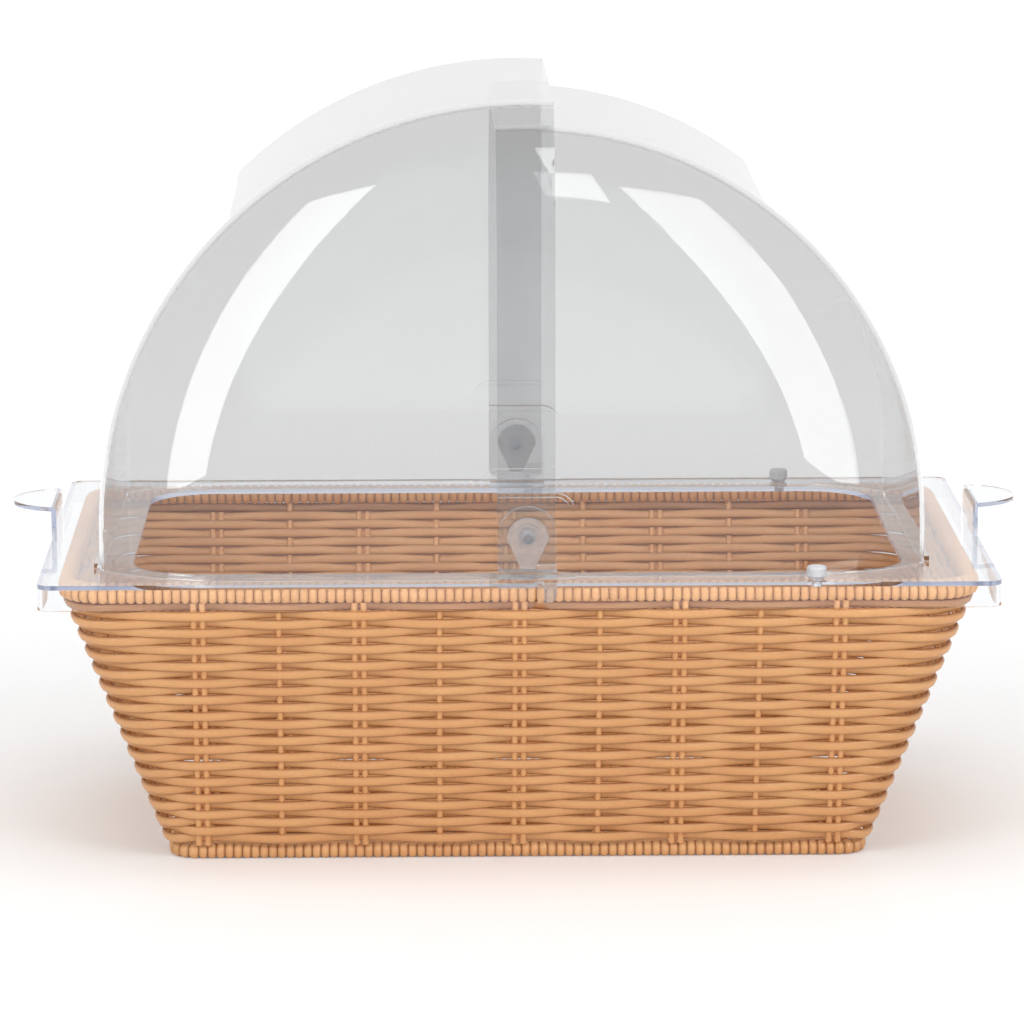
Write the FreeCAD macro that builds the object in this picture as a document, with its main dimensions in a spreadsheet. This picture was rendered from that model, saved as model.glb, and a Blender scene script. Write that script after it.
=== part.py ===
import FreeCAD, Part

import math
import os

import Sketcher

# Countertop bread display bin: a tapered woven basket with wrapped rims, and on it a clear
# lift-off frame that carries two nesting quarter-round covers on one pair of pivots.
# Frame: origin on the counter under the middle of the basket, +X to the right as seen from
# the front, -Y to the front, +Z up. All lengths are millimetres.

SIZES = {
    # basket rims: wrapped hoops, outer sizes
    "rim_length": 530, "rim_width": 325, "rim_height": 171.7, "rim_corner": 30,
    "rim_thickness": 8.5,
    "foot_length": 410, "foot_width": 224, "foot_corner": 18, "foot_thickness": 9,
    "foot_flat_depth": 0.4, "wire_diameter": 3,
    # woven wall, uprights and floor
    "wall_thickness": 5, "wall_rim_inset": 1.75, "wall_foot_overhang": 2.5,
    "floor_thickness": 4,
    "stake_diameter": 3.6, "stake_end_gap": 0.6, "stake_pair_spacing": 5.2,
    "stake_pitch_front": 46, "stake_pitch_side": 42,
    # frame plate on the rim
    "seat_gap": 0.3,
    "plate_length": 550, "plate_width": 342, "plate_thickness": 3, "plate_corner": 8,
    "skirt_depth": 15, "skirt_thickness": 2.5,
    "window_length": 446, "window_width": 276, "window_corner": 40,
    "notch_start": 3.4, "notch_width": 5.7, "notch_depth": 4, "notch_flare": 3.6,
    # lift handles at the two ends
    "handle_width": 64, "handle_leg": 3, "handle_rise": 20, "handle_reach": 24.5,
    "tongue_thickness": 2.6, "handle_bend": 2.4,
    # pivots
    "pivot_offset": 4.5, "pivot_height": 24.5, "pivot_pin_radius": 3, "running_gap": 0.05,
    "ear_width": 34, "ear_thickness": 4, "ear_foot_reach": 10, "ear_foot_thickness": 3,
    "pin_head_radius": 5.5, "pin_head_thickness": 2.5, "knob_socket_depth": 4,
    "knob_radius": 12, "knob_thickness": 3, "knob_tab_length": 17.5, "knob_tab_width": 7.7,
    "knob_ring_radius": 8.6, "knob_ring_height": 2.2, "knob_boss_radius": 3.6,
    "knob_boss_height": 1.2, "knob_dimple_radius": 2.2, "knob_dimple_depth": 1,
    # covers: flat end walls that bend inwards towards the roof
    "outer_radius": 246, "inner_radius": 230.6, "outer_half_width": 163,
    "inner_half_width": 153, "cover_thickness": 2.6, "cover_edge_round": 8,
    "bend_width": 83, "bend_radius": 115,
    "outer_overlap": 15.6, "inner_overlap": 17.4, "cover_gap": 0.3,
    "lip_reach": 3.5, "lip_thickness": 2.6,
    # hub panels, where the end walls step towards each other round the pivot
    "outer_hub_reach": 27, "outer_hub_height": 40, "inner_hub_reach": 27,
    "inner_hub_height": 25, "hub_corner": 11, "hub_split": 158, "hub_half_gap": 0.25,
    # clips at the skirt's notches, and the pegs that the open outer cover lands on
    "clip_thickness": 2.4, "clip_start": 4.8, "clip_end": 16.2, "clip_top": 10.9,
    "clip_bar_height": 6.1, "clip_drop": 10.9, "clip_blade": 3.6, "clip_corner": 4.9,
    "peg_offset": 165, "peg_line": 160, "peg_head_radius": 5.7, "peg_head_round": 1.6,
    "peg_height": 7.4, "peg_neck_radius": 3.9, "peg_neck_height": 1.8, "peg_stem_radius": 3,
    # how far a cut runs past the surface that it opens
    "overrun": 5,
}

FRONT_STAKES = 4
SIDE_STAKES = 2
FULL_TURN = 360
QUARTER_TURN = 90
TOLERANCE = 1e-4
LEFT_RIGHT = FreeCAD.Vector(1, 0, 0)
FRONT_REAR = FreeCAD.Vector(0, 1, 0)

doc = FreeCAD.newDocument("bread_bin")
sheet = doc.addObject("Spreadsheet::Sheet", "sizes")
for row, (alias, number) in enumerate(SIZES.items(), start=1):
    sheet.set("A%d" % row, alias)
    sheet.set("B%d" % row, str(number))
    sheet.setAlias("B%d" % row, alias)
doc.recompute()

# Derived sizes, as expressions in the sheet's names.
PLATE_TOP = "(sizes.rim_height + sizes.seat_gap + sizes.plate_thickness)"
PIVOT_Z = "(%s + sizes.pivot_height)" % PLATE_TOP
HUB_SWEEP = "(sizes.pivot_height - sizes.cover_gap)"
OUTER_HUB_FACE = "(sizes.hub_split + sizes.hub_half_gap + sizes.cover_thickness)"
INNER_HUB_FACE = "(sizes.hub_split - sizes.hub_half_gap)"
EAR_FACE = "(%s - sizes.cover_thickness - 2 * sizes.hub_half_gap)" % INNER_HUB_FACE
KNOB_BACK = "(%s + sizes.seat_gap)" % OUTER_HUB_FACE
FOOT_AXIS_Z = "(sizes.foot_thickness / 2 - sizes.foot_flat_depth)"
RIM_AXIS_Z = "(sizes.rim_height - sizes.rim_thickness / 2)"
WALL_BOTTOM = "(%s + sizes.foot_thickness / 2)" % FOOT_AXIS_Z
WALL_TOP = "(sizes.rim_height - sizes.rim_thickness)"
# The middle surface of the woven wall, at its bottom and top edges.
WALL_FOOT_X = "(sizes.foot_length / 2 + sizes.wall_foot_overhang - sizes.wall_thickness / 2)"
WALL_FOOT_Y = "(sizes.foot_width / 2 + sizes.wall_foot_overhang - sizes.wall_thickness / 2)"
WALL_RIM_X = "(sizes.rim_length / 2 - sizes.wall_rim_inset - sizes.wall_thickness / 2)"
WALL_RIM_Y = "(sizes.rim_width / 2 - sizes.wall_rim_inset - sizes.wall_thickness / 2)"


def value(expression):
    """The number that an expression in the sheet's names stands for."""
    return float(sheet.evalExpression(str(expression)))


def negative(expression):
    return "-(%s)" % expression


def minus(a, b):
    return "(%s) - (%s)" % (a, b)


def plus(a, b):
    return "(%s) + (%s)" % (a, b)


# Sketches

def new_sketch(body, name, plane, offset=None):
    """A sketch on one of a body's own origin planes, moved off it by an expression."""
    sketch = body.newObject("Sketcher::SketchObject", name)
    feature = [f for f in body.Origin.OriginFeatures if f.Role == plane][0]
    sketch.AttachmentSupport = [(feature, "")]
    sketch.MapMode = "FlatFace"
    if offset is not None:
        sketch.setExpression("AttachmentOffset.Base.z", offset)
    return sketch


def pin_point(sketch, geometry, end, x, y):
    """Binds one end of a sketch edge, or a circle's centre, to two expressions."""
    for kind, expression, axis in (("DistanceX", x, -2), ("DistanceY", y, -1)):
        number = value(expression)
        if number == 0:
            sketch.addConstraint(Sketcher.Constraint("PointOnObject", geometry, end, axis))
            continue
        places = (-1, 1, geometry, end) if number > 0 else (geometry, end, -1, 1)
        index = sketch.addConstraint(Sketcher.Constraint(kind, *places, abs(number)))
        bound = expression if number > 0 else negative(expression)
        sketch.setExpression("Constraints[%d]" % index, str(bound))


def arc_centre(start, end, radius, turn):
    """Centre of the shorter arc from start to end that turns left (+1) or right (-1)."""
    middle = (start + end) * 0.5
    half = (end - start) * 0.5
    reach = math.sqrt(max(radius ** 2 - half.Length ** 2, 0))
    side = FreeCAD.Vector(-half.y, half.x, 0)
    side.normalize()
    return middle + side * (reach * turn)


def outline(sketch, corners):
    """A closed outline. A corner is (x, y) before a straight edge, or (x, y, radius, turn)
    before an arc, whose turn is 1 to the left and -1 to the right."""
    points = [FreeCAD.Vector(value(c[0]), value(c[1]), 0) for c in corners]
    edges = []
    for index, corner in enumerate(corners):
        start = points[index]
        end = points[(index + 1) % len(points)]
        if len(corner) == 2:
            edges.append((sketch.addGeometry(Part.LineSegment(start, end)), 1, 2))
            continue
        radius, turn = value(corner[2]), corner[3]
        centre = arc_centre(start, end, radius, turn)
        first, last = (start, end) if turn > 0 else (end, start)
        angles = [math.atan2(p.y - centre.y, p.x - centre.x) for p in (first, last)]
        whole = Part.Circle(centre, FreeCAD.Vector(0, 0, 1), radius)
        number = sketch.addGeometry(Part.ArcOfCircle(whole, *angles))
        edges.append((number, 1, 2) if turn > 0 else (number, 2, 1))
        constraint = sketch.addConstraint(Sketcher.Constraint("Radius", number, radius))
        sketch.setExpression("Constraints[%d]" % constraint, str(corner[2]))
    for index, corner in enumerate(corners):
        number, start_end = edges[index][0], edges[index][1]
        before = edges[index - 1]
        sketch.addConstraint(
            Sketcher.Constraint("Coincident", before[0], before[2], number, start_end))
        pin_point(sketch, number, start_end, corner[0], corner[1])
    return sketch


def circle(sketch, x, y, radius):
    centre = FreeCAD.Vector(value(x), value(y), 0)
    number = sketch.addGeometry(
        Part.Circle(centre, FreeCAD.Vector(0, 0, 1), value(radius)))
    index = sketch.addConstraint(Sketcher.Constraint("Radius", number, value(radius)))
    sketch.setExpression("Constraints[%d]" % index, str(radius))
    pin_point(sketch, number, 3, x, y)
    return sketch


def rounded_rectangle(half_x, half_y, radius):
    """Corners of a rectangle about the sketch's origin, with all four corners rounded."""
    corners = []
    inner_x = minus(half_x, radius)
    inner_y = minus(half_y, radius)
    corners.append((negative(inner_x), negative(half_y)))
    corners.append((inner_x, negative(half_y), radius, 1))
    corners.append((half_x, negative(inner_y)))
    corners.append((half_x, inner_y, radius, 1))
    corners.append((inner_x, half_y))
    corners.append((negative(inner_x), half_y, radius, 1))
    corners.append((negative(half_x), inner_y))
    corners.append((negative(half_x), negative(inner_y), radius, 1))
    return corners


def rectangle(x0, y0, x1, y1):
    return [(x0, y0), (x1, y0), (x1, y1), (x0, y1)]


def mirrored(corners):
    """The same outline with left and right exchanged."""
    flipped = []
    for corner in corners:
        rest = (corner[2], -corner[3]) if len(corner) > 2 else ()
        flipped.append((negative(corner[0]), corner[1]) + rest)
    return flipped


# Features

def new_body(name):
    body = doc.addObject("PartDesign::Body", name)
    body.Label = name
    return body


def extrude(body, kind, sketch, length, symmetric=False, reverse=False):
    """A Pad or Pocket of a sketch."""
    feature = body.newObject("PartDesign::" + kind, sketch.Name + "_" + kind.lower())
    feature.Profile = sketch
    feature.setExpression("Length", str(length))
    feature.SideType = "Symmetric" if symmetric else "One side"
    feature.Reversed = reverse
    doc.recompute()
    return feature


def pad(body, sketch, length, symmetric=False, reverse=False):
    return extrude(body, "Pad", sketch, length, symmetric, reverse)


def pocket(body, sketch, length, symmetric=False, reverse=False):
    """A Pocket that has to take something away."""
    before = body.Shape.Volume
    feature = extrude(body, "Pocket", sketch, length, symmetric, reverse)
    if body.Shape.Volume >= before:
        raise RuntimeError("pocket cuts nothing: " + sketch.Name)
    return feature


def round_edges(body, wanted, radius):
    """A fillet on each edge of the body's tip that a test picks."""
    base = body.Tip
    names = ["Edge%d" % (i + 1) for i, e in enumerate(base.Shape.Edges) if wanted(e)]
    feature = body.newObject("PartDesign::Fillet", body.Name + "_round%d" % len(doc.Objects))
    feature.Base = (base, names)
    feature.setExpression("Radius", str(radius))
    doc.recompute()
    return feature


def place(thing, x=None, y=None, z=None):
    for axis, expression in (("x", x), ("y", y), ("z", z)):
        if expression is not None:
            thing.setExpression("Placement.Base." + axis, str(expression))


def twin(thing, name, across):
    """The mirror image of a piece on the other side of the frame."""
    copy = doc.addObject("Part::Mirroring", name)
    copy.Source = thing
    copy.Normal = across
    copy.Label = name
    doc.recompute()
    return copy


def wrapped_hoop(name, half_x, half_y, corner, axis_z, diameter, bore=None):
    """A round tube or rod that follows a rounded rectangle at one height."""
    path = doc.addObject("Sketcher::SketchObject", name + "_path")
    outline(path, rounded_rectangle(half_x, half_y, corner))
    path.setExpression("Placement.Base.z", axis_z)
    doc.recompute()
    tubes = []
    for suffix, width in (("", diameter), ("_bore", bore)):
        if width is None:
            continue
        section = doc.addObject("Part::Circle", name + "_section" + suffix)
        section.setExpression("Radius", "(%s) / 2" % width)
        turn = FreeCAD.Rotation(FreeCAD.Vector(0, 1, 0), QUARTER_TURN)
        section.Placement = FreeCAD.Placement(FreeCAD.Vector(), turn)
        start = minus(corner, half_x)
        place(section, start, negative(half_y), axis_z)
        sweep = doc.addObject("Part::Sweep", name + "_sweep" + suffix)
        sweep.Sections = [section]
        sweep.Spine = (path, ["Edge%d" % (i + 1) for i in range(path.GeometryCount)])
        sweep.Solid = True
        sweep.Frenet = False
        tubes.append(sweep)
    doc.recompute()
    if len(tubes) == 1:
        return tubes[0]
    return cut(name + "_tube", tubes[0], tubes[1])


def cut(name, base, tool):
    result = doc.addObject("Part::Cut", name)
    result.Base = base
    result.Tool = tool
    result.Label = name
    doc.recompute()
    return result


def fuse(name, things):
    result = doc.addObject("Part::MultiFuse", name)
    result.Shapes = things
    result.Refine = True
    doc.recompute()
    return result


# Basket

def rim_axes(prefix):
    """Half length, half width and corner radius of a rim's middle line."""
    half = "sizes.%s_thickness / 2" % prefix
    along = minus("sizes.%s_length / 2" % prefix, half)
    across = minus("sizes.%s_width / 2" % prefix, half)
    corner = minus("sizes.%s_corner" % prefix, half)
    return along, across, corner


def make_rims():
    """Two wrapped hoops with a steel wire inside each. The lower one stands on a flat."""
    along, across, corner = rim_axes("rim")
    top = wrapped_hoop("top_rim_binding", along, across, corner, RIM_AXIS_Z,
                       "sizes.rim_thickness", "sizes.wire_diameter")
    top.Label = "top_rim_binding"
    top_wire = wrapped_hoop("top_hoop_wire", along, across, corner, RIM_AXIS_Z,
                            "sizes.wire_diameter")
    top_wire.Label = "top_hoop_wire"
    along, across, corner = rim_axes("foot")
    low = wrapped_hoop("bottom_rim_tube", along, across, corner, FOOT_AXIS_Z,
                       "sizes.foot_thickness", "sizes.wire_diameter")
    under = doc.addObject("Part::Box", "under_counter")
    under.setExpression("Length", "sizes.foot_length + 2 * sizes.overrun")
    under.setExpression("Width", "sizes.foot_width + 2 * sizes.overrun")
    under.setExpression("Height", "sizes.overrun")
    place(under, "-sizes.foot_length / 2 - sizes.overrun",
          "-sizes.foot_width / 2 - sizes.overrun", "-sizes.overrun")
    bottom = cut("bottom_rim_binding", low, under)
    bottom_wire = wrapped_hoop("bottom_hoop_wire", along, across, corner, FOOT_AXIS_Z,
                               "sizes.wire_diameter")
    bottom_wire.Label = "bottom_hoop_wire"
    return [top, top_wire, bottom, bottom_wire]


def wall_section(body, name, height, half_x, half_y, corner, shift):
    """One level of the wall, moved outwards from its middle surface by a shift."""
    sketch = new_sketch(body, name, "XY_Plane", height)
    return outline(sketch, rounded_rectangle(
        plus(half_x, shift), plus(half_y, shift), plus(corner, shift)))


def loft_between(body, kind, name, shift):
    foot = wall_section(body, name + "_foot", WALL_BOTTOM, WALL_FOOT_X, WALL_FOOT_Y,
                        "sizes.foot_corner", shift)
    rim = wall_section(body, name + "_rim", WALL_TOP, WALL_RIM_X, WALL_RIM_Y,
                       "sizes.rim_corner", shift)
    doc.recompute()
    loft = body.newObject("PartDesign::" + kind, name)
    loft.Profile = foot
    loft.Sections = [rim]
    loft.Ruled = True
    doc.recompute()
    return loft


def stake_columns(count, pitch):
    """Offsets of the uprights along one side: pairs at even columns, single ones between."""
    columns = []
    for column in range(-count, count + 1):
        middle = "%d * %s" % (column, pitch)
        if column % 2 == 0:
            columns.append("%s - sizes.stake_pair_spacing / 2" % middle)
            columns.append("%s + sizes.stake_pair_spacing / 2" % middle)
        else:
            columns.append(middle)
    return columns


def make_stakes(name, count, pitch, foot, rim, along_x, side):
    """The uprights of one side: leaning rods in the middle of the woven wall."""
    rise = minus(WALL_TOP, WALL_BOTTOM)
    spread = minus(rim, foot)
    lean = "atan((%s) / (%s)) / 1deg" % (spread, rise)
    length = "sqrt((%s)^2 + (%s)^2) - 2 * sizes.stake_end_gap" % (rise, spread)
    rods = []
    for number, offset in enumerate(stake_columns(count, pitch)):
        rod = doc.addObject("Part::Cylinder", "%s_%d" % (name, number))
        rod.setExpression("Radius", "sizes.stake_diameter / 2")
        rod.setExpression("Height", length)
        axis = FreeCAD.Vector(-side, 0, 0) if along_x else FreeCAD.Vector(0, side, 0)
        rod.Placement = FreeCAD.Placement(FreeCAD.Vector(), FreeCAD.Rotation(axis, 1))
        rod.setExpression("Placement.Rotation.Angle", lean)
        start = "%d * ((%s) + sizes.stake_end_gap * sin(atan((%s) / (%s))))" % (
            side, foot, spread, rise)
        lift = "(%s) + sizes.stake_end_gap * cos(atan((%s) / (%s)))" % (
            WALL_BOTTOM, spread, rise)
        if along_x:
            place(rod, offset, start, lift)
        else:
            place(rod, start, offset, lift)
        rods.append(rod)
    group = doc.addObject("Part::Compound", name)
    group.Links = rods
    group.Label = name
    doc.recompute()
    return group


def make_basket():
    pieces = make_rims()
    wall = new_body("wall_blank")
    loft_between(wall, "AdditiveLoft", "wall_outside", "sizes.wall_thickness / 2")
    loft_between(wall, "SubtractiveLoft", "wall_inside", "-sizes.wall_thickness / 2")
    stakes = [
        make_stakes("stakes_front", FRONT_STAKES, "sizes.stake_pitch_front",
                    WALL_FOOT_Y, WALL_RIM_Y, True, -1),
        make_stakes("stakes_rear", FRONT_STAKES, "sizes.stake_pitch_front",
                    WALL_FOOT_Y, WALL_RIM_Y, True, 1),
        make_stakes("stakes_left", SIDE_STAKES, "sizes.stake_pitch_side",
                    WALL_FOOT_X, WALL_RIM_X, False, -1),
        make_stakes("stakes_right", SIDE_STAKES, "sizes.stake_pitch_side",
                    WALL_FOOT_X, WALL_RIM_X, False, 1),
    ]
    weave = wall
    for side, group in zip(("front", "rear", "left"), stakes):
        weave = cut("wall_for_" + side, weave, group)
    weave = cut("basket_weave", weave, stakes[-1])
    floor = new_body("basket_floor")
    along, across, corner = rim_axes("foot")
    half = "sizes.foot_thickness / 2"
    level = "%s - sizes.floor_thickness / 2" % FOOT_AXIS_Z
    panel = outline(new_sketch(floor, "floor_outline", "XY_Plane", level),
                    rounded_rectangle(minus(along, half), minus(across, half),
                                      minus(corner, half)))
    pad(floor, panel, "sizes.floor_thickness")
    return pieces + stakes + [weave, floor]


# Lift-off frame

def make_plate():
    """The plate with its skirt, the window over the basket, and the skirt's two notches."""
    body = new_body("frame_plate")
    half_x, half_y = "sizes.plate_length / 2", "sizes.plate_width / 2"
    top = PLATE_TOP
    block = new_sketch(body, "plate_outline", "XY_Plane", top)
    outline(block, rounded_rectangle(half_x, half_y, "sizes.plate_corner"))
    pad(body, block, "sizes.skirt_depth", reverse=True)
    under = new_sketch(body, "plate_underside", "XY_Plane",
                       "%s - sizes.plate_thickness" % top)
    outline(under, rounded_rectangle(minus(half_x, "sizes.skirt_thickness"),
                                     minus(half_y, "sizes.skirt_thickness"),
                                     "sizes.plate_corner - sizes.skirt_thickness"))
    pocket(body, under, "sizes.skirt_depth")
    window = new_sketch(body, "plate_window", "XY_Plane", top)
    outline(window, rounded_rectangle("sizes.window_length / 2", "sizes.window_width / 2",
                                      "sizes.window_corner"))
    pocket(body, window, "sizes.plate_thickness + sizes.overrun")
    start = "sizes.pivot_offset + sizes.notch_start"
    end = plus(start, "sizes.notch_width")
    low = "%s - sizes.skirt_depth" % top
    for side, turn in (("front", 1), ("rear", -1)):
        notch = new_sketch(body, "notch_" + side, "XZ_Plane",
                           "%d * (sizes.plate_width / 2 + sizes.overrun)" % turn)
        corners = [(minus(start, "sizes.notch_flare"), "%s - sizes.overrun" % low),
                   (plus(end, "sizes.notch_flare"), "%s - sizes.overrun" % low),
                   (plus(end, "sizes.notch_flare"), low, "sizes.notch_flare", -1),
                   (end, plus(low, "sizes.notch_flare")),
                   (end, plus(top, "sizes.overrun")),
                   (start, plus(top, "sizes.overrun")),
                   (start, plus(low, "sizes.notch_flare"), "sizes.notch_flare", -1),
                   (minus(start, "sizes.notch_flare"), low)]
        outline(notch, corners)
        pocket(body, notch, "sizes.notch_depth + sizes.overrun", reverse=turn < 0)
    holes = new_sketch(body, "peg_holes", "XY_Plane", top)
    for side in ("sizes.peg_line", "-sizes.peg_line"):
        circle(holes, "sizes.pivot_offset + sizes.peg_offset", side, "sizes.peg_stem_radius")
    pocket(body, holes, "sizes.plate_thickness + sizes.overrun")
    return body


def make_handles():
    """L-shaped lift handles: a leg on the plate's end and a rounded tongue that points out."""
    profile = new_body("handle_profile")
    outer = "sizes.plate_length / 2"
    inner = minus(outer, "sizes.handle_leg")
    tip = plus(outer, "sizes.handle_reach")
    low = PLATE_TOP
    high = plus(low, "sizes.handle_rise")
    under = minus(high, "sizes.tongue_thickness")
    sketch = new_sketch(profile, "handle_section", "XZ_Plane")
    corners = [(inner, low), (outer, low), (outer, under), (tip, under), (tip, high),
               (plus(inner, "sizes.handle_bend"), high, "sizes.handle_bend", 1),
               (inner, minus(high, "sizes.handle_bend"))]
    outline(sketch, corners)
    pad(profile, sketch, "sizes.handle_width", symmetric=True)
    # the tongue's plan: one arc through the leg's two outer corners and the tip
    reach, half = "sizes.handle_reach", "(sizes.handle_width / 2)"
    arc = "((%s^2 + %s^2) / (2 * %s))" % (half, reach, reach)
    plan = doc.addObject("Part::Cylinder", "handle_plan")
    plan.setExpression("Radius", arc)
    plan.setExpression("Height", "sizes.handle_rise + 2 * sizes.overrun")
    place(plan, "%s - %s" % (tip, arc), None, "%s - sizes.overrun" % low)
    right = doc.addObject("Part::Common", "handle_right")
    right.Base = profile
    right.Tool = plan
    right.Label = "handle_right"
    doc.recompute()
    return [right, twin(right, "handle_left", LEFT_RIGHT)]


def make_ears():
    """Upright pivot lugs inside the covers' end walls, each with a foot on the plate."""
    body = new_body("pivot_ear_front")
    place(body, "sizes.pivot_offset", None, PIVOT_Z)
    half = "sizes.ear_width / 2"
    floor_level = "-sizes.pivot_height"
    ear = new_sketch(body, "ear_outline", "XZ_Plane", minus(EAR_FACE, "sizes.ear_thickness"))
    outline(ear, [(negative(half), floor_level), (half, floor_level), (half, "0", half, 1),
                  ("0", half, half, 1), (negative(half), "0")])
    pad(body, ear, "sizes.ear_thickness")
    foot = new_sketch(body, "ear_foot", "XZ_Plane",
                      "%s - sizes.ear_thickness - sizes.ear_foot_reach" % EAR_FACE)
    outline(foot, rectangle(negative(half), floor_level, half,
                            plus(floor_level, "sizes.ear_foot_thickness")))
    pad(body, foot, "sizes.ear_foot_reach + sizes.ear_thickness / 2")
    bore = new_sketch(body, "ear_bore", "XZ_Plane", EAR_FACE)
    circle(bore, "0", "0", "sizes.pivot_pin_radius")
    pocket(body, bore, "sizes.ear_thickness")
    return [body, twin(body, "pivot_ear_rear", FRONT_REAR)]


def make_pins():
    """Headed pins through ear and both hub panels, into the knob."""
    body = new_body("pivot_pin_front")
    place(body, "sizes.pivot_offset", None, PIVOT_Z)
    back = minus(EAR_FACE, "sizes.ear_thickness")
    head = new_sketch(body, "pin_head", "XZ_Plane", minus(back, "sizes.pin_head_thickness"))
    circle(head, "0", "0", "sizes.pin_head_radius")
    pad(body, head, "sizes.pin_head_thickness")
    shank = new_sketch(body, "pin_shank", "XZ_Plane", minus(back, "sizes.pin_head_thickness"))
    circle(shank, "0", "0", "sizes.pivot_pin_radius")
    reach = minus(plus(KNOB_BACK, "sizes.knob_socket_depth"), back)
    pad(body, shank, plus(reach, "sizes.pin_head_thickness"))
    return [body, twin(body, "pivot_pin_rear", FRONT_REAR)]


def make_knobs():
    """Clear knobs: a disc with a tab below, a raised ring and a dimpled boss."""
    body = new_body("pivot_knob_front")
    place(body, "sizes.pivot_offset", None, PIVOT_Z)
    radius, low, half = "sizes.knob_radius", "-sizes.knob_tab_length", "sizes.knob_tab_width / 2"
    disc = new_sketch(body, "knob_outline", "XZ_Plane", KNOB_BACK)
    outline(disc, [(negative(half), low), (half, low), (radius, "0", radius, 1),
                   ("0", radius, radius, 1), (negative(radius), "0")])
    pad(body, disc, "sizes.knob_thickness")
    level = plus(KNOB_BACK, "sizes.knob_thickness")
    ring = new_sketch(body, "knob_ring", "XZ_Plane", level)
    circle(ring, "0", "0", "sizes.knob_ring_radius")
    pad(body, ring, "sizes.knob_ring_height")
    level = plus(level, "sizes.knob_ring_height")
    boss = new_sketch(body, "knob_boss", "XZ_Plane", level)
    circle(boss, "0", "0", "sizes.knob_boss_radius")
    pad(body, boss, "sizes.knob_boss_height")
    level = plus(level, "sizes.knob_boss_height")
    dimple = new_sketch(body, "knob_dimple", "XZ_Plane", level)
    circle(dimple, "0", "0", "sizes.knob_dimple_radius")
    pocket(body, dimple, "sizes.knob_dimple_depth")
    socket = new_sketch(body, "knob_socket", "XZ_Plane", KNOB_BACK)
    circle(socket, "0", "0", "sizes.pivot_pin_radius")
    pocket(body, socket, "sizes.knob_socket_depth", reverse=True)
    return [body, twin(body, "pivot_knob_rear", FRONT_REAR)]


def make_clips():
    """C-shaped clips in front of the skirt, each with a blade through the notch."""
    start, end = "sizes.clip_start", "sizes.clip_end"
    blade = plus(start, "sizes.clip_blade")
    top, bar = "sizes.clip_top", minus("sizes.clip_top", "sizes.clip_bar_height")
    drop, corner = "-sizes.clip_drop", "sizes.clip_corner"
    body = new_body("lock_clip_front")
    place(body, "sizes.pivot_offset", None, PLATE_TOP)
    front = new_sketch(body, "clip_face", "XZ_Plane", "sizes.plate_width / 2")
    outline(front, [(start, top), (start, drop), (minus(end, corner), drop, corner, 1),
                    (end, plus(drop, corner)), (end, "0"), (blade, "0"), (blade, bar),
                    (end, bar), (end, top)])
    pad(body, front, "sizes.clip_thickness")
    neck = new_sketch(body, "clip_neck", "XZ_Plane", "sizes.plate_width / 2")
    outline(neck, rectangle(start, drop, blade, "0"))
    pad(body, neck, "sizes.notch_depth", reverse=True)
    return [body, twin(body, "lock_clip_rear", FRONT_REAR)]


def make_pegs():
    """Push-in pegs under the line of the outer cover's end walls, which stop it when open."""
    head, rounding, rise = "sizes.peg_head_radius", "sizes.peg_head_round", "sizes.peg_height"
    neck, shoulder, stem = "sizes.peg_neck_radius", "sizes.peg_neck_height", "sizes.peg_stem_radius"
    under = "-sizes.plate_thickness"
    body = new_body("stop_peg_front")
    place(body, "sizes.pivot_offset + sizes.peg_offset", "-sizes.peg_line", PLATE_TOP)
    section = new_sketch(body, "peg_section", "XZ_Plane")
    outline(section, [("0", under), (stem, under), (stem, "0"), (neck, "0"), (head, shoulder),
                      (head, minus(rise, rounding), rounding, 1),
                      (minus(head, rounding), rise), ("0", rise)])
    feature = body.newObject("PartDesign::Revolution", "peg_turned")
    feature.Profile = section
    feature.ReferenceAxis = (section, ["V_Axis"])
    feature.Angle = FULL_TURN
    doc.recompute()
    return [body, twin(body, "stop_peg_rear", FRONT_REAR)]


# Covers

def cover_profile(radius, sweep, overlap):
    """Left cover seen from the front, about the pivot: end, roof, free edge and foot."""
    return [(negative(radius), negative(sweep)),
            (negative(radius), "0", radius, -1),
            (overlap, "sqrt((%s)^2 - (%s)^2)" % (radius, overlap)),
            (overlap, "-sqrt(%s^2 - (%s)^2)" % (sweep, overlap), sweep, -1),
            ("0", negative(sweep))]


def hub_profile(reach, height, inset, edge_x, edge_z):
    """The hub panel of the left cover, with one rounded corner on its upper left."""
    left, top = negative(minus(reach, inset)), minus(height, inset)
    corner = minus("sizes.hub_corner", inset)
    return [(left, edge_z), (left, minus(top, corner), corner, -1), (plus(left, corner), top),
            (edge_x, top)]


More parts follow.
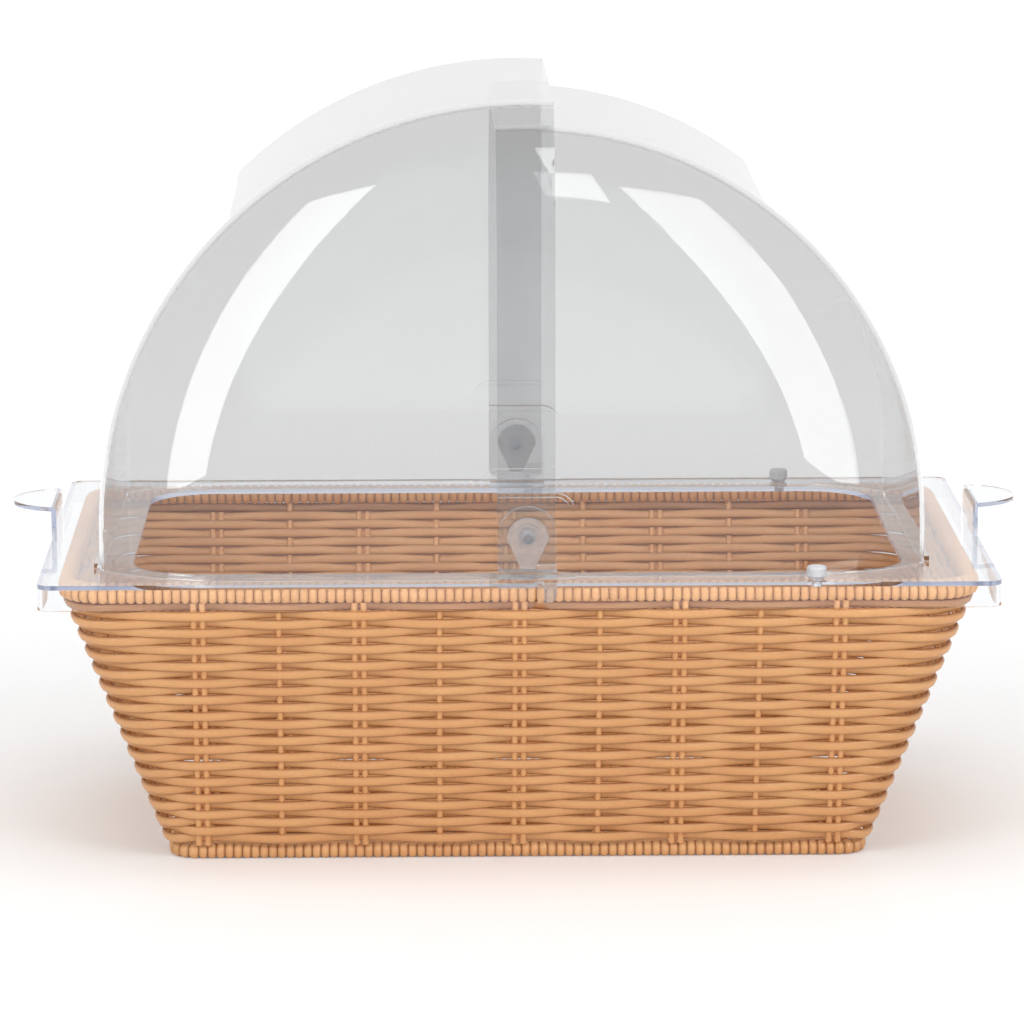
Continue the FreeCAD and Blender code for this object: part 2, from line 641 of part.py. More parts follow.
def cover_block(name, corners, radius, half_width, bend_start, bend_radius, rounding):
    """The solid inside one surface of a cover: a thick quarter disc whose two flat faces
    bend inwards round its rim."""
    body = new_body(name)
    place(body, "sizes.pivot_offset", None, PIVOT_Z)
    shell = new_sketch(body, name + "_outline", "XZ_Plane")
    outline(shell, corners)
    pad(body, shell, "2 * (%s)" % half_width, symmetric=True)
    over = "sizes.overrun"
    past = plus(radius, over)
    centre = minus(half_width, bend_radius)
    low = "%s + sqrt((%s)^2 - (%s)^2)" % (centre, bend_radius, minus(past, bend_start))
    for side, turn in (("front", -1), ("rear", 1)):
        face, edge, away = ("%d * (%s)" % (turn, level)
                            for level in (half_width, low, plus(half_width, over)))
        rim = new_sketch(body, "%s_bend_%s" % (name, side), "XY_Plane")
        outline(rim, [(bend_start, face, bend_radius, -turn), (past, edge), (past, away),
                      (bend_start, away)])
        groove = body.newObject("PartDesign::Groove", "%s_groove_%s" % (name, side))
        groove.Profile = rim
        groove.ReferenceAxis = (rim, ["V_Axis"])
        groove.Angle = FULL_TURN
        doc.recompute()

    def rim_edge(edge):
        """An edge between the roof and one of the bent end walls."""
        middle = edge.valueAt((edge.FirstParameter + edge.LastParameter) / 2)
        span = edge.BoundBox.YMax - edge.BoundBox.YMin
        inside_walls = value(centre) < abs(middle.y) < value(half_width) - TOLERANCE
        off_axis = math.hypot(middle.x, max(middle.z, 0))
        return span < value(over) and inside_walls and abs(
            off_axis - value(radius)) < TOLERANCE

    round_edges(body, rim_edge, rounding)
    return body


def hub_block(name, corners, near, far, turn):
    """A slab of the hub's outline between two levels on the front (1) or rear (-1) side."""
    body = new_body(name)
    place(body, "sizes.pivot_offset", None, PIVOT_Z)
    sketch = new_sketch(body, name + "_outline", "XZ_Plane", "%d * (%s)" % (turn, near))
    outline(sketch, corners)
    pad(body, sketch, minus(far, near), reverse=turn < 0)
    return body


def make_cover(name, radius, half_width, overlap, hub_reach, hub_height, left):
    """One quarter-round cover, open below and at its free edge, hung on two hub panels."""
    thickness, over = "sizes.cover_thickness", "sizes.overrun"
    form = (lambda corners: corners) if left else mirrored
    inner = minus(radius, thickness)
    bend_start = minus(radius, "sizes.bend_width")
    edge_x = plus(overlap, over)
    low = negative(plus(HUB_SWEEP, over))
    outside = cover_block(name + "_outside", form(cover_profile(radius, HUB_SWEEP, overlap)),
                          radius, half_width, bend_start, "sizes.bend_radius",
                          "sizes.cover_edge_round")
    hollow = cover_block(name + "_hollow",
                         form([(negative(inner), low), (negative(inner), "0", inner, -1),
                               (edge_x, "sqrt((%s)^2 - (%s)^2)" % (inner, edge_x)),
                               (edge_x, low)]),
                         inner, minus(half_width, thickness), bend_start,
                         minus("sizes.bend_radius", thickness),
                         minus("sizes.cover_edge_round", thickness))

    # finger lip along the foot of the roof
    lip = new_body(name + "_lip")
    place(lip, "sizes.pivot_offset", None, PIVOT_Z)
    strip = new_sketch(lip, name + "_lip_outline", "XZ_Plane")
    outline(strip, form(rectangle(negative(plus(radius, "sizes.lip_reach")),
                                  negative(HUB_SWEEP),
                                  negative(minus(radius, "%s / 2" % thickness)),
                                  plus(negative(HUB_SWEEP), "sizes.lip_thickness"))))
    drop = "(sizes.bend_radius - sqrt(sizes.bend_radius^2 - sizes.bend_width^2))"
    pad(lip, strip, "2 * (%s - %s - sizes.cover_edge_round)" % (half_width, drop),
        symmetric=True)

    # hub panels: the outer cover's step inwards, the inner cover's step outwards
    panels, dents = [], []
    for side, turn in (("front", 1), ("rear", -1)):
        if left:
            near, far = minus(OUTER_HUB_FACE, thickness), "%s - %s / 2" % (half_width, thickness)
            dent_from, dent_to = OUTER_HUB_FACE, plus(half_width, over)
        else:
            near, far = "%s - %s / 2" % (half_width, thickness), INNER_HUB_FACE
            dent_from = "%s - %s - %s" % (half_width, thickness, over)
            dent_to = minus(INNER_HUB_FACE, thickness)
        panel = hub_profile(hub_reach, hub_height, "0", overlap, negative(HUB_SWEEP))
        panel += [(overlap, "-sqrt(%s^2 - (%s)^2)" % (HUB_SWEEP, overlap), HUB_SWEEP, -1),
                  ("0", negative(HUB_SWEEP))]
        panels.append(hub_block("%s_hub_%s" % (name, side), form(panel), near, far, turn))
        dent = hub_profile(hub_reach, hub_height, thickness, edge_x, low) + [(edge_x, low)]
        dents.append(hub_block("%s_dent_%s" % (name, side), form(dent), dent_from, dent_to,
                               turn))
    bore = new_body(name + "_bore")
    place(bore, "sizes.pivot_offset", None, PIVOT_Z)
    round_hole = new_sketch(bore, name + "_bore_outline", "XZ_Plane")
    circle(round_hole, "0", "0", "sizes.pivot_pin_radius + sizes.running_gap")
    pad(bore, round_hole, "2 * (sizes.outer_half_width + %s)" % over, symmetric=True)
    shell = cut(name + "_shell", outside, hollow)
    whole = fuse(name + "_whole", [shell, lip] + panels)
    return cut(name, whole, fuse(name + "_openings", dents + [bore]))


def check_and_export(nodes):
    """Stops on any failed object, then writes each sub-part to a file of its own."""
    doc.recompute()
    for thing in doc.Objects:
        if "Invalid" in thing.State or "Error" in thing.State:
            raise RuntimeError("failed object: " + thing.Label)
    labels = [node.Label for node in nodes]
    if len(set(labels)) != len(labels):
        raise RuntimeError("two sub-parts share a label")
    os.makedirs("parts", exist_ok=True)
    for node in nodes:
        if node.Shape.isNull() or not node.Shape.isValid():
            raise RuntimeError("bad shape: " + node.Label)
        node.Shape.exportStep("parts/%s.step" % node.Label)
        print("%-20s solids %2d  volume %10.1f mm3" % (
            node.Label, len(node.Shape.Solids), node.Shape.Volume))


nodes = make_basket()
nodes.append(make_plate())
nodes += make_handles()
nodes += make_ears()
nodes += make_pins()
nodes += make_knobs()
nodes += make_clips()
nodes += make_pegs()
nodes.append(make_cover("outer_cover", "sizes.outer_radius", "sizes.outer_half_width",
                        "sizes.outer_overlap", "sizes.outer_hub_reach",
                        "sizes.outer_hub_height", True))
nodes.append(make_cover("inner_cover", "sizes.inner_radius", "sizes.inner_half_width",
                        "sizes.inner_overlap", "sizes.inner_hub_reach",
                        "sizes.inner_hub_height", False))
check_and_export(nodes)
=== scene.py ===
import math

import bpy
from mathutils import Matrix, Vector


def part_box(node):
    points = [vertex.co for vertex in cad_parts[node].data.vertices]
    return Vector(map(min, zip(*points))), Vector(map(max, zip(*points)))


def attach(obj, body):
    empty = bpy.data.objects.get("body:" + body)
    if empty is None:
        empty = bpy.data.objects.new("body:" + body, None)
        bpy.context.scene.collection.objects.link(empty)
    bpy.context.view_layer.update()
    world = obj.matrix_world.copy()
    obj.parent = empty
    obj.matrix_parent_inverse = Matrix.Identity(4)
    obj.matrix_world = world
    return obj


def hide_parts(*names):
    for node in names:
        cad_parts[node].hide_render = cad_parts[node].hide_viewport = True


# Countertop bread display bin: a woven basket under a clear lift-off frame with two rolling covers.
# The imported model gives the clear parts, the uprights and the hoop wires. The basket's strands are
# made here, in millimetres. Floor, lamps and camera are placed in metres. Z is up.

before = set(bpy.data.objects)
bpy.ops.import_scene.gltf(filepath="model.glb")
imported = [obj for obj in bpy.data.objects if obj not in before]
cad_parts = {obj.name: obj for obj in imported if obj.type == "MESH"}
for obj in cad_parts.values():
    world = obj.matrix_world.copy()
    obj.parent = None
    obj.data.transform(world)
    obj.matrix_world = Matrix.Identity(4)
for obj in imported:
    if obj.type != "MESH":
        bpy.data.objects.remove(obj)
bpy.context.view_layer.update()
MM = 0.001


# Nodes and materials

class Nodes:
    """A node tree that starts empty, with short ways to add, feed and join its nodes."""

    def __init__(self, tree):
        self.tree = tree
        tree.nodes.clear()

    def add(self, kind, **settings):
        node = self.tree.nodes.new("ShaderNode" + kind)
        for key, value in settings.items():
            setattr(node, key, value)
        return node

    def feed(self, socket, value):
        """Links another node's output to a socket, or sets it to a number or a colour."""
        if isinstance(value, bpy.types.NodeSocket):
            self.tree.links.new(value, socket)
        elif isinstance(value, tuple):
            socket.default_value = (*value, 1.0)
        else:
            socket.default_value = value

    def maximum(self, a, b):
        node = self.add("Math", operation="MAXIMUM")
        self.feed(node.inputs[0], a)
        self.feed(node.inputs[1], b)
        return node.outputs[0]

    def mix_shaders(self, share, first, second):
        """The first node's shader, with the second's in its place at a share."""
        node = self.add("MixShader")
        for socket, value in zip(node.inputs, (share, first.outputs[0], second.outputs[0])):
            self.feed(socket, value)
        return node

    def seen_directly(self):
        """1 for rays that the camera, a mirror or clear plastic sends straight to a surface."""
        path = self.add("LightPath")
        seen = path.outputs["Is Camera Ray"]
        for ray in ("Is Glossy Ray", "Is Transmission Ray"):
            seen = self.maximum(seen, path.outputs[ray])
        return seen


class Recipe(Nodes):
    """A new material with its texture and shader nodes."""

    def __init__(self, name):
        self.material = bpy.data.materials.new(name)
        self.material.use_nodes = True
        super().__init__(self.material.node_tree)
        self.out = self.add("OutputMaterial")

    def noise(self, scales, detail, roughness=0.5):
        """Noise in object coordinates, with a scale for each axis."""
        place = self.add("TexCoord")
        mapping = self.add("Mapping")
        mapping.inputs["Scale"].default_value = scales
        self.feed(mapping.inputs["Vector"], place.outputs["Object"])
        node = self.add("TexNoise")
        node.inputs["Scale"].default_value = 1.0
        node.inputs["Detail"].default_value = detail
        node.inputs["Roughness"].default_value = roughness
        self.feed(node.inputs["Vector"], mapping.outputs["Vector"])
        return node.outputs["Fac"]

    def ramp(self, value, *stops):
        """A ramp between two (position, grey or colour) stops."""
        node = self.add("ValToRGB")
        for element, (position, colour) in zip(node.color_ramp.elements, stops):
            element.position = position
            rgb = (colour,) * 3 if isinstance(colour, float) else colour
            element.color = (*rgb, 1.0)
        self.feed(node.inputs["Fac"], value)
        return node.outputs["Color"]

    def blend(self, share, a, b):
        """Two colours mixed at a fixed share or a socket's."""
        node = self.add("MixRGB", blend_type="MIX")
        for socket, value in zip(node.inputs, (share, a, b)):
            self.feed(socket, value)
        return node.outputs[0]

    def bump(self, height, strength, distance):
        node = self.add("Bump")
        node.inputs["Strength"].default_value = strength
        node.inputs["Distance"].default_value = distance
        self.feed(node.inputs["Height"], height)
        return node.outputs["Normal"]

    def principled(self, **sockets):
        """A Principled shader. A socket's name has _ for each space."""
        node = self.add("BsdfPrincipled")
        for name, value in sockets.items():
            self.feed(node.inputs[name.replace("_", " ")], value)
        return node

    def finish(self, shader):
        """Puts a shader on the material's surface and gives the material."""
        self.feed(self.out.inputs["Surface"], shader.outputs[0])
        return self.material


def srgb(r, g, b):
    """Linear colour from 8-bit screen values."""
    return tuple(((v / 255 + 0.055) / 1.055) ** 2.4 if v > 10 else v / 255 / 12.92
                 for v in (r, g, b))


def rattan():
    """Moulded satin rattan strand: honey tan, streaked along and mottled, with a soft sheen,
    and with painted shade on its edges, behind uprights, in bead grooves and under the rim."""
    m = Recipe("poly_rattan")
    fine = m.noise((420, 420, 1400), 3.0, 0.6)
    broad = m.noise((22, 22, 60), 2.0)
    streaks = m.ramp(fine, (0.3, srgb(216, 156, 100)), (0.7, srgb(229, 173, 116)))
    mottled = m.ramp(broad, (0.35, srgb(215, 154, 100)), (0.65, srgb(230, 175, 119)))
    clean = m.blend(0.5, streaks, mottled)
    painted_shade = m.add("Attribute", attribute_name="painted_shade").outputs["Fac"]
    # Painted shade: the colour goes towards dark brown by each point's painted shade value.
    colour = m.blend(painted_shade, clean, srgb(128, 74, 38))
    rough = m.ramp(broad, (0.3, 0.36), (0.7, 0.46))
    grain = m.noise((900, 900, 3200), 2.0)
    return m.finish(m.principled(Base_Color=colour, Roughness=rough,
                                 Normal=m.bump(grain, 0.12, 0.0004),
                                 IOR=1.49, Specular_IOR_Level=0.5))


# A ray that has crossed more clear skins than this, or met more mirrors, goes straight on, so
# that no edge turns black.
MOST_SKINS, MOST_MIRRORS = 8, 2


def clear(name, skin, density, tint):
    """Clear moulded plastic: it bends light, dims it at its skin and with its own thickness,
    has faint haze and flow ripples, and lets the lamps' light through."""
    m = Recipe(name)
    rough = m.ramp(m.noise((9, 9, 9), 4.0, 0.6), (0.35, 0.0), (0.75, 0.03))
    flow = m.noise((7, 7, 4), 1.0)
    body = m.principled(Base_Color=skin, Roughness=rough, IOR=1.45,
                        Transmission_Weight=1.0, Normal=m.bump(flow, 0.05, 0.002))
    through = m.add("BsdfTransparent")
    m.feed(through.inputs["Color"], (0.94, 0.94, 0.94))
    path = m.add("LightPath")
    straight = path.outputs["Is Shadow Ray"]
    for depth, most in (("Transmission Depth", MOST_SKINS), ("Glossy Depth", MOST_MIRRORS)):
        late = m.add("Math", operation="GREATER_THAN")
        m.feed(late.inputs[0], path.outputs[depth])
        m.feed(late.inputs[1], most)
        straight = m.maximum(straight, late.outputs[0])
    inside = m.add("VolumeAbsorption")
    m.feed(inside.inputs["Color"], tint)
    m.feed(inside.inputs["Density"], density)
    m.feed(m.out.inputs["Volume"], inside.outputs[0])
    return m.finish(m.mix_shaders(straight, body, through))


def milky(name, clearness, smooth):
    """White plastic that lets a share of the light through, with a fine cloudy mottle."""
    m = Recipe(name)
    cloud = m.noise((300, 300, 300), 3.0)
    colour = m.ramp(cloud, (0.3, srgb(226, 228, 232)), (0.7, srgb(244, 245, 247)))
    rough = m.ramp(cloud, (0.3, smooth), (0.7, smooth + 0.12))
    return m.finish(m.principled(Base_Color=colour, Roughness=rough, IOR=1.49,
                                 Transmission_Weight=clearness,
                                 Normal=m.bump(cloud, 0.1, 0.0003)))


def steel():
    """Drawn wire of the hoops inside the rims."""
    m = Recipe("steel_wire")
    drawn = m.noise((800, 800, 800), 3.0)
    rough = m.ramp(drawn, (0.3, 0.28), (0.7, 0.5))
    colour = m.ramp(drawn, (0.3, srgb(150, 152, 155)), (0.7, srgb(182, 184, 186)))
    return m.finish(m.principled(Base_Color=colour, Roughness=rough, Metallic=1.0))


RATTAN = rattan()
COVER = clear("cover_clear", skin=(0.775, 0.78, 0.782), density=3.0, tint=srgb(205, 210, 226))
FITTINGS = clear("frame_clear", skin=(0.95, 0.955, 0.965), density=13.0,
                 tint=srgb(142, 160, 200))
FROSTED = milky("frosted_plastic", clearness=0.35, smooth=0.32)
KNOB = milky("knob_plastic", clearness=0.86, smooth=0.02)
STEEL = steel()


# Strands and their outlines

# Painted shade on a strand's edges, on its stretches behind an upright, in the grooves between beads
# and on the row under the rim. The powers keep the painted shade to the edges and grooves.
EDGE_SHADE, BEHIND_SHADE, GROOVE_SHADE, RIM_SHADE = 0.6, 0.15, 0.85, 0.5
EDGE_POWER, GROOVE_POWER = 4, 6


def strand_piece(name, node, points, faces, painted_shades=None):
    """A smooth rattan piece on the basket, in place of a CAD node, from points in millimetres.
    The last argument gives each point's painted shade, from 0 on top of a strand to 1 deep between
    two."""
    mesh = bpy.data.meshes.new(name)
    mesh.from_pydata([(x * MM, y * MM, z * MM) for x, y, z in points], [], faces)
    mesh.polygons.foreach_set("use_smooth", [True] * len(mesh.polygons))
    mesh.materials.append(RATTAN)
    if painted_shades:
        # Stores each point's painted shade for the rattan material.
        layer = mesh.attributes.new("painted_shade", "FLOAT", "POINT")
        layer.data.foreach_set("value", painted_shades)
    mesh.update()
    piece = bpy.data.objects.new(name, mesh)
    bpy.context.scene.collection.objects.link(piece)
    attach(piece, "basket")
    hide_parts(node)


def add_tube(points, faces, rings, closed):
    """Adds the skin of a tube, given as rings of points, to a mesh's lists."""
    first = len(points)
    size = len(rings[0])
    for ring in rings:
        points.extend(ring)
    spans = len(rings) if closed else len(rings) - 1
    for span in range(spans):
        here = first + span * size
        there = first + ((span + 1) % len(rings)) * size
        for k in range(size):
            after = (k + 1) % size
            faces.append((here + k, here + after, there + after, there + k))
    if not closed:
        last = first + (len(rings) - 1) * size
        faces.append(tuple(first + k for k in reversed(range(size))))
        faces.append(tuple(last + k for k in range(size)))


def section(out, height, sides, powers):
    """A round section as (outward, upward) pairs. Powers under 1 make it squarer each way."""
    ring = []
    for k in range(sides):
        angle = 2 * math.pi * k / sides
        c, s = math.cos(angle), math.sin(angle)
        ring.append((math.copysign(abs(c) ** powers[0], c) * out,
                     math.copysign(abs(s) ** powers[1], s) * height))
    return ring


class Outline:
    """A rounded rectangle, walked round from the left end of its front side."""

    def __init__(self, half_x, half_y, corner):
        self.half_x, self.half_y, self.corner = half_x, half_y, corner
        self.straight_x, self.straight_y = half_x - corner, half_y - corner
        self.sides = [2 * self.straight_x, 2 * self.straight_y] * 2
        self.arc = corner * math.pi / 2

    def point_at(self, distance):
        """The point at a distance along the walk, and its outward normal."""
        starts = ((-self.straight_x, -self.half_y), (self.half_x, -self.straight_y),
                  (self.straight_x, self.half_y), (-self.half_x, self.straight_y))
        for quarter, ((x, y), length) in enumerate(zip(starts, self.sides)):
            turn = quarter * math.pi / 2
            along = (math.cos(turn), math.sin(turn))
            outward = (math.sin(turn), -math.cos(turn))
            if distance <= length:
                return x + along[0] * distance, y + along[1] * distance, outward
            distance -= length
            if distance <= self.arc:
                angle = turn - math.pi / 2 + distance / self.corner
                normal = (math.cos(angle), math.sin(angle))
                cx = x + along[0] * length - outward[0] * self.corner
                cy = y + along[1] * length - outward[1] * self.corner
                return cx + normal[0] * self.corner, cy + normal[1] * self.corner, normal
            distance -= self.arc
        return *starts[0], (0.0, -1.0)


# Woven wall

WALL_FOOT_Z, WALL_RIM_Z = 8.6, 163.2
WALL_FOOT, WALL_RIM = (205.0, 112.0, 18.0), (260.75, 158.25, 30.0)
FRONT_PITCH, FRONT_COLUMNS = 46.0, 9
SIDE_PITCH, SIDE_COLUMNS = 42.0, 5
STEPS_PER_COLUMN = 10
ROWS, LOWEST_ROW, TOP_ROW = 29, 13.5, 159.8
STRAND_OUT, STRAND_DEEP = 1.75, 1.6
STRAND_FRONT, STRAND_BACK = 2.95, 2.9
STRAND_SIDES, STRAND_POWERS = 12, (0.7, 0.7)


def column_stations(outline):
    """Stations round the wall with a weave phase that is whole at each stake column, and at
    the middle of each corner."""
    columns = [(FRONT_COLUMNS, FRONT_PITCH), (SIDE_COLUMNS, SIDE_PITCH)] * 2
    knots = []
    start = 0.0
    for length, (count, pitch) in zip(outline.sides, columns):
        first = start + length / 2 - pitch * (count - 1) / 2
        knots.extend(first + i * pitch for i in range(count))
        knots.append(start + length + outline.arc / 2)
        start += length + outline.arc
    total = start
    stations = []
    for number, (here, there) in enumerate(zip(knots, knots[1:] + [knots[0] + total])):
        for step in range(STEPS_PER_COLUMN):
            share = step / STEPS_PER_COLUMN
            stations.append(((here + (there - here) * share) % total, number + share))
    return stations


def strand_ring(place, normal, slopes, sway, shade):
    """A strand's section square to the leaning wall, moved out or in by its sway, and the
    painted shade of each of its points."""
    x, y, z = place
    height = (STRAND_FRONT + STRAND_BACK) / 2 + (STRAND_FRONT - STRAND_BACK) / 2 * sway
    lean = abs(normal[0]) * slopes[0] + abs(normal[1]) * slopes[1]
    tilt = math.hypot(1, lean)
    behind = (1 - sway) / 2
    ring, painted_shades = [], []
    for out, up in section(STRAND_DEEP, height, STRAND_SIDES, STRAND_POWERS):
        edge = (abs(up) / height) ** EDGE_POWER
        # Painted shade: darker at the strand's top and bottom edges, behind an upright, and under
        # the rim.
        painted_shades.append(min(1.0, EDGE_SHADE * edge + BEHIND_SHADE * behind + shade))
        across = STRAND_OUT * sway + out
        flat = (across + up * lean) / tilt
        rise = (up - across * lean) / tilt
        ring.append((x + normal[0] * flat, y + normal[1] * flat, z + rise))
    return ring, painted_shades


def woven_wall():
    """Rows of strand that pass in front of one column of stakes and behind the next."""
    points, faces, painted_shades = [], [], []
    climb = WALL_RIM_Z - WALL_FOOT_Z
    slopes = [(rim - foot) / climb for foot, rim in zip(WALL_FOOT, WALL_RIM)][:2]
    for row in range(ROWS):
        z = LOWEST_ROW + (TOP_ROW - LOWEST_ROW) * row / (ROWS - 1)
        share = (z - WALL_FOOT_Z) / climb
        outline = Outline(*(foot + (rim - foot) * share for foot, rim in zip(WALL_FOOT, WALL_RIM)))
        side = 1 if row % 2 else -1
        # Painted shadow under the rim: the top row is darkened.
        shade = RIM_SHADE if row == ROWS - 1 else 0.0
        rings = []
        for distance, phase in column_stations(outline):
            x, y, normal = outline.point_at(distance)
            sway = math.cos(math.pi * phase) * side
            ring, ring_painted_shades = strand_ring((x, y, z), normal, slopes, sway, shade)
            rings.append(ring)
            painted_shades.extend(ring_painted_shades)
        add_tube(points, faces, rings, True)
    strand_piece("woven_wall", "basket_weave", points, faces, painted_shades)


# Wrapped rims

BEAD_SIDES, BEAD_POWERS = 16, (0.8, 0.9)
# Places of a bead's sections along it, as shares of its length.
BEAD_SHARES = (0.0, 0.06, 0.16, 0.32, 0.5, 0.68, 0.84, 0.94)
GROOVE_DEPTH, BEAD_FULLNESS = 2.3, 0.93


def wrapped_rim(name, node, outline, z, radius, pitch, lowest=-math.inf):
    """A strand wound round a hoop: beads side by side, with a groove between them. No point of
    it is under the lowest level."""
    total = sum(outline.sides) + 4 * outline.arc
    beads = round(total / pitch)
    rings, painted_shades = [], []
    for bead in range(beads):
        for share in BEAD_SHARES:
            off_middle = 2 * share - 1
            # Painted shade in the grooves between beads.
            painted_shades.extend([GROOVE_SHADE * abs(off_middle) ** GROOVE_POWER] * BEAD_SIDES)
            x, y, normal = outline.point_at(total * (bead + share) / beads)
            swell = math.sqrt(max(0.0, 1 - off_middle ** 2 * BEAD_FULLNESS))
            reach = radius - GROOVE_DEPTH * (1 - swell)
            rings.append([(x + normal[0] * out, y + normal[1] * out, max(z + up, lowest))
                          for out, up in section(reach, reach, BEAD_SIDES, BEAD_POWERS)])
    points, faces = [], []
    add_tube(points, faces, rings, True)
    strand_piece(name, node, points, faces, painted_shades)


# Woven floor

FLOOR_MARGIN, FLOOR_CORNER, FLOOR_ROWS, FLOOR_STEPS = 1, 12.0, 34, 72
FLOOR_SWAY, FLOOR_STRAND_RISE, FLOOR_STRAND_WIDTH_SHARE = 0.85, 1.05, 0.95
FLOOR_PAIR_OFFSET, UPRIGHT_MARGIN, UPRIGHT_STEPS = 2.6, 0.5, 40
UPRIGHT_HALF_WIDTH, UPRIGHT_HALF_HEIGHT, ROUND = 1.7, 0.95, (1.0, 1.0)


def woven_floor():
    """Strands along the basket, over and under uprights that run across its bottom."""
    low, high = (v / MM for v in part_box("basket_floor"))
    middle = (low.z + high.z) / 2
    half_x, half_y = high.x - FLOOR_MARGIN, high.y - FLOOR_MARGIN
    points, faces = [], []
    pitch = 2 * half_y / FLOOR_ROWS
    for row in range(FLOOR_ROWS):
        y = -half_y + pitch * (row + 0.5)
        into = max(0.0, abs(y) + pitch / 2 - (half_y - FLOOR_CORNER))
        reach = half_x - FLOOR_CORNER + math.sqrt(max(0.0, FLOOR_CORNER ** 2 - into ** 2))
        rings = []
        for step in range(FLOOR_STEPS + 1):
            x = -reach + 2 * reach * step / FLOOR_STEPS
            sway = math.cos(math.pi * x / FRONT_PITCH) * (1 if row % 2 else -1)
            rings.append([(x, y + side * pitch * 0.5, middle + FLOOR_SWAY * sway + up)
                          for up, side in section(FLOOR_STRAND_RISE, FLOOR_STRAND_WIDTH_SHARE,
                                                  STRAND_SIDES, STRAND_POWERS)])
        add_tube(points, faces, rings, False)
    reach = half_y - UPRIGHT_MARGIN
    for number in range(FRONT_COLUMNS):
        x = (number - (FRONT_COLUMNS - 1) / 2) * FRONT_PITCH
        offsets = (-FLOOR_PAIR_OFFSET, FLOOR_PAIR_OFFSET) if number % 2 == 0 else (0.0,)
        for shift in offsets:
            rings = []
            for step in range(UPRIGHT_STEPS + 1):
                y = -reach + 2 * reach * step / UPRIGHT_STEPS
                rings.append([(x + shift + across, y, middle + up)
                              for across, up in section(UPRIGHT_HALF_WIDTH, UPRIGHT_HALF_HEIGHT,
                                                        STRAND_SIDES, ROUND)])
            add_tube(points, faces, rings, False)
    strand_piece("woven_floor", "basket_floor", points, faces)


woven_wall()
wrapped_rim("rim_beads", "top_rim_binding", Outline(260.0, 157.5, 25.0),
            z=166.75, radius=4.9, pitch=5.2)
wrapped_rim("foot_beads", "bottom_rim_binding", Outline(200.5, 107.5, 13.5),
            z=4.1, radius=4.45, pitch=5.1, lowest=0.02)
woven_floor()

FINISHES = {
    RATTAN: ("stakes_front", "stakes_rear", "stakes_left", "stakes_right"),
    STEEL: ("top_hoop_wire", "bottom_hoop_wire"),
    COVER: ("outer_cover", "inner_cover"),
    FITTINGS: ("frame_plate", "handle_left", "handle_right", "pivot_ear_front",
               "pivot_ear_rear", "pivot_pin_front", "pivot_pin_rear", "lock_clip_front",
               "lock_clip_rear"),
    KNOB: ("pivot_knob_front", "pivot_knob_rear"),
    FROSTED: ("stop_peg_front", "stop_peg_rear"),
}
for finish, names in FINISHES.items():
    for name in names:
        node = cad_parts[name]
        node.data.materials.clear()
        node.data.materials.append(finish)


# Floor, world and lamps

FLOOR_REACH = 14.0
# The floor's glow grows from the object's foot to the open floor, by distance and strength.
GLOW = {"From Min": 0.3, "From Max": 1.6, "To Min": 0.1, "To Max": 0.4}
SOFT_WORLD, WHITE_WORLD = 0.7, 1.0


def studio_floor():
    """A white gloss sheet. It shows white, with the object's soft shadow and faint reflection."""
    m = Recipe("studio_floor")
    base = m.principled(Base_Color=(0.86, 0.86, 0.86), Roughness=0.16, IOR=1.03)
    place = m.add("TexCoord")
    length = m.add("VectorMath", operation="LENGTH")
    m.feed(length.inputs[0], place.outputs["Object"])
    away = m.add("MapRange", interpolation_type="SMOOTHSTEP")
    for socket, value in GLOW.items():
        m.feed(away.inputs[socket], value)
    m.feed(away.inputs["Value"], length.outputs["Value"])
    glow = m.add("Emission")
    m.feed(glow.inputs["Strength"], away.outputs["Result"])
    both = m.add("AddShader")
    m.feed(both.inputs[0], base.outputs[0])
    m.feed(both.inputs[1], glow.outputs[0])
    mesh = bpy.data.meshes.new("studio_floor")
    corners = ((-1, -1), (1, -1), (1, 1), (-1, 1))
    mesh.from_pydata([(x * FLOOR_REACH, y * FLOOR_REACH, 0) for x, y in corners],
                     [], [(0, 1, 2, 3)])
    mesh.materials.append(m.finish(m.mix_shaders(m.seen_directly(), base, both)))
    floor = bpy.data.objects.new("studio_floor", mesh)
    bpy.context.scene.collection.objects.link(floor)


def studio_world():
    """Soft light from all round, and a white backdrop wherever it is seen directly."""
    world = bpy.data.worlds.new("studio")
    bpy.context.scene.world = world
    world.use_nodes = True
    nodes = Nodes(world.node_tree)
    soft, white = nodes.add("Background"), nodes.add("Background")
    for node, strength in ((soft, SOFT_WORLD), (white, WHITE_WORLD)):
        nodes.feed(node.inputs["Color"], (1.0, 1.0, 1.0))
        nodes.feed(node.inputs["Strength"], strength)
    mix = nodes.mix_shaders(nodes.seen_directly(), soft, white)
    nodes.feed(nodes.add("OutputWorld").inputs["Surface"], mix.outputs[0])


def panel(name, place, toward, width, height, radiance, shine):
    """A white panel that faces a point. One with shine shows only in gloss and through clear
    plastic, and one without only lights dull surfaces."""
    ahead = Vector(toward) - Vector(place)
    lamp = bpy.data.lights.new(name, "AREA")
    lamp.shape = "RECTANGLE"
    lamp.size, lamp.size_y = width, height
    lamp.energy = radiance * math.pi * width * height
    holder = bpy.data.objects.new(name, lamp)
    turn = ahead.to_track_quat("-Z", "Y").to_matrix().to_4x4()
    holder.matrix_world = Matrix.Translation(Vector(place)) @ turn
    holder.visible_camera = False
    holder.visible_diffuse = not shine
    holder.visible_glossy = shine
    holder.visible_transmission = shine
    bpy.context.scene.collection.objects.link(holder)


BASKET_MIDDLE = (0, 0, 0.2)

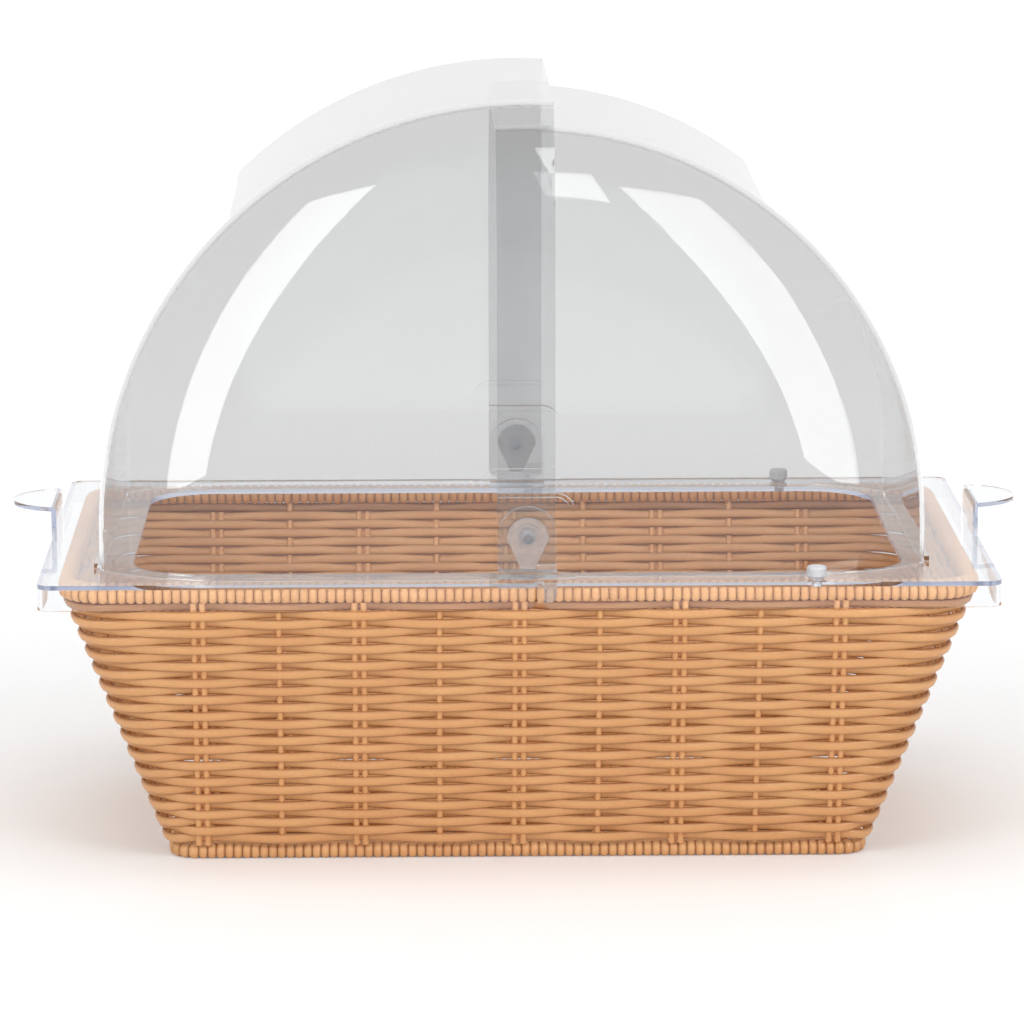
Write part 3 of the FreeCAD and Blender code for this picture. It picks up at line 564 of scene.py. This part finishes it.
studio_floor()
studio_world()
panel("left_shine", place=(-0.79, -0.97, 0.80), toward=(-0.2, -0.16, 0.80),
      width=0.42, height=1.32, radiance=5.0, shine=True)
panel("right_shine", place=(0.76, -0.99, 0.92), toward=(0.2, -0.16, 0.92),
      width=0.57, height=1.56, radiance=4.5, shine=True)
panel("high_shine", place=(0.20, -0.95, 1.31), toward=(0.05, -0.16, 0.42),
      width=0.24, height=0.34, radiance=4.5, shine=True)
panel("left_light", place=(-1.9, -2.2, 1.8), toward=BASKET_MIDDLE,
      width=1.4, height=1.4, radiance=3.7, shine=False)
panel("right_light", place=(1.9, -2.2, 1.8), toward=BASKET_MIDDLE,
      width=1.4, height=1.4, radiance=4.1, shine=False)
panel("top_light", place=(0, -0.6, 2.8), toward=BASKET_MIDDLE,
      width=2.2, height=1.6, radiance=1.6, shine=False)


# Camera

CAMERA_PLACE = (-0.06311, -3.16397, 0.7683)
CAMERA_YAW, CAMERA_PITCH, CAMERA_ROLL = 0.0195, 0.1823, -0.0014
SENSOR_WIDTH, LENS, FARTHEST = 36.0, 188.73, 60.0


def photo_camera():
    """The photograph's view: a long lens a little above the frame, looking slightly down."""
    level = math.cos(CAMERA_PITCH)
    ahead = Vector((math.sin(CAMERA_YAW) * level, math.cos(CAMERA_YAW) * level,
                    -math.sin(CAMERA_PITCH)))
    right = Vector((math.cos(CAMERA_YAW), -math.sin(CAMERA_YAW), 0))
    up = right.cross(ahead)
    tilted_right = right * math.cos(CAMERA_ROLL) + up * math.sin(CAMERA_ROLL)
    tilted_up = up * math.cos(CAMERA_ROLL) - right * math.sin(CAMERA_ROLL)
    turn = Matrix((tilted_right, tilted_up, -ahead)).transposed().to_4x4()
    data = bpy.data.cameras.new("camera")
    data.sensor_width = SENSOR_WIDTH
    data.lens = LENS
    data.clip_end = FARTHEST
    camera = bpy.data.objects.new("camera", data)
    camera.matrix_world = Matrix.Translation(CAMERA_PLACE) @ turn
    bpy.context.scene.collection.objects.link(camera)
    bpy.context.scene.camera = camera


photo_camera()
bpy.context.scene.view_settings.view_transform = "Standard"
